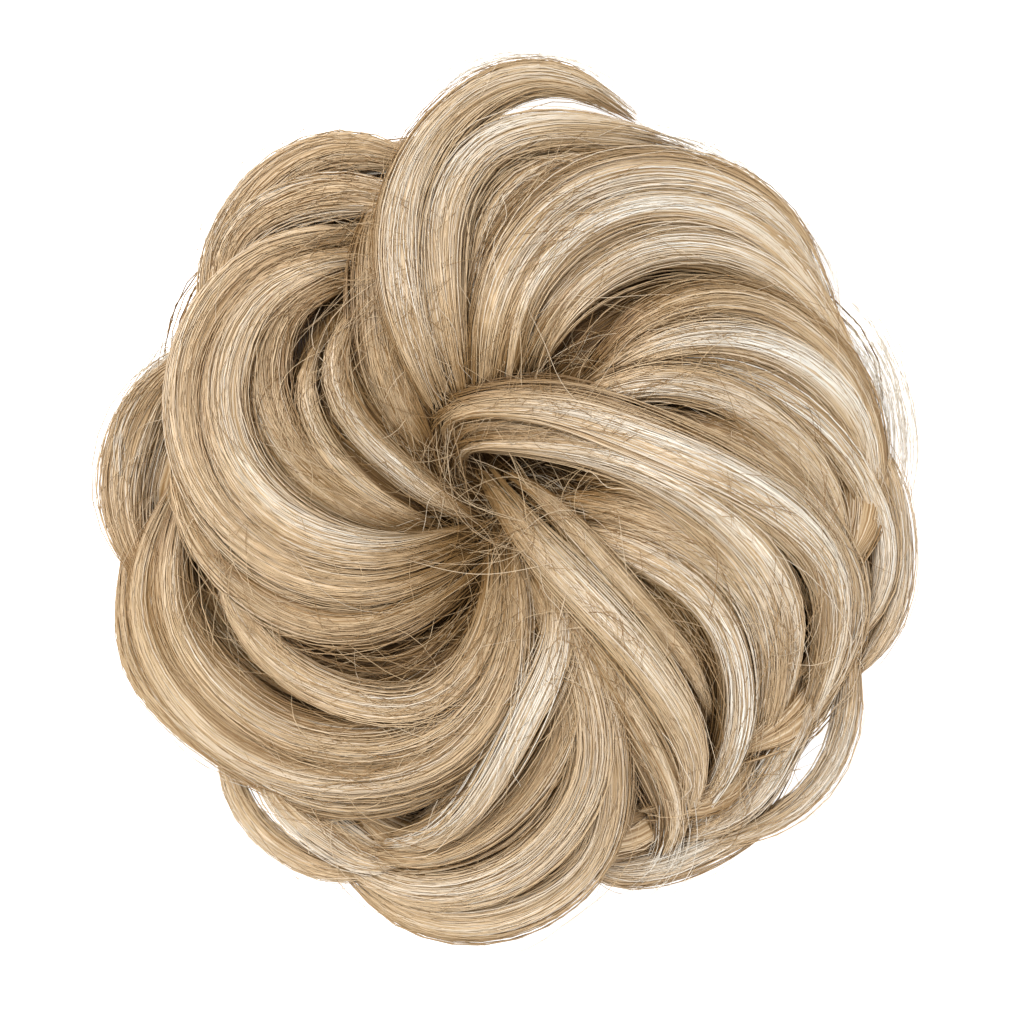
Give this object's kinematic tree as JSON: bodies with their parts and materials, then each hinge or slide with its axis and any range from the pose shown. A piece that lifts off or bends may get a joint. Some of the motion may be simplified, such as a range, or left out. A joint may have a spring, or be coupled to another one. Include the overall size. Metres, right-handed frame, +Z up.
{
  "type": "top knot hairpiece",
  "caption": "Swirl of hair locks domed over an elastic ring, worn over a bun or ponytail as a fuller top knot.",
  "frame": {"origin": "on the ground under the middle of the outline, with the elastic band lying flat", "axes": "+Z up through the crown of the swirl, +Y towards the top of the picture, +X to its right"},
  "size_m": [0.1376, 0.15, 0.0492],
  "materials": {
    "elastic": "woven elastic, matt, dark brown",
    "hair": "straight glossy synthetic fibre, ash brown to pale blonde"
  },
  "bodies": {
    "root": {"elastic_band": "elastic", "hair_locks": "hair"}
  },
  "joints": []
}
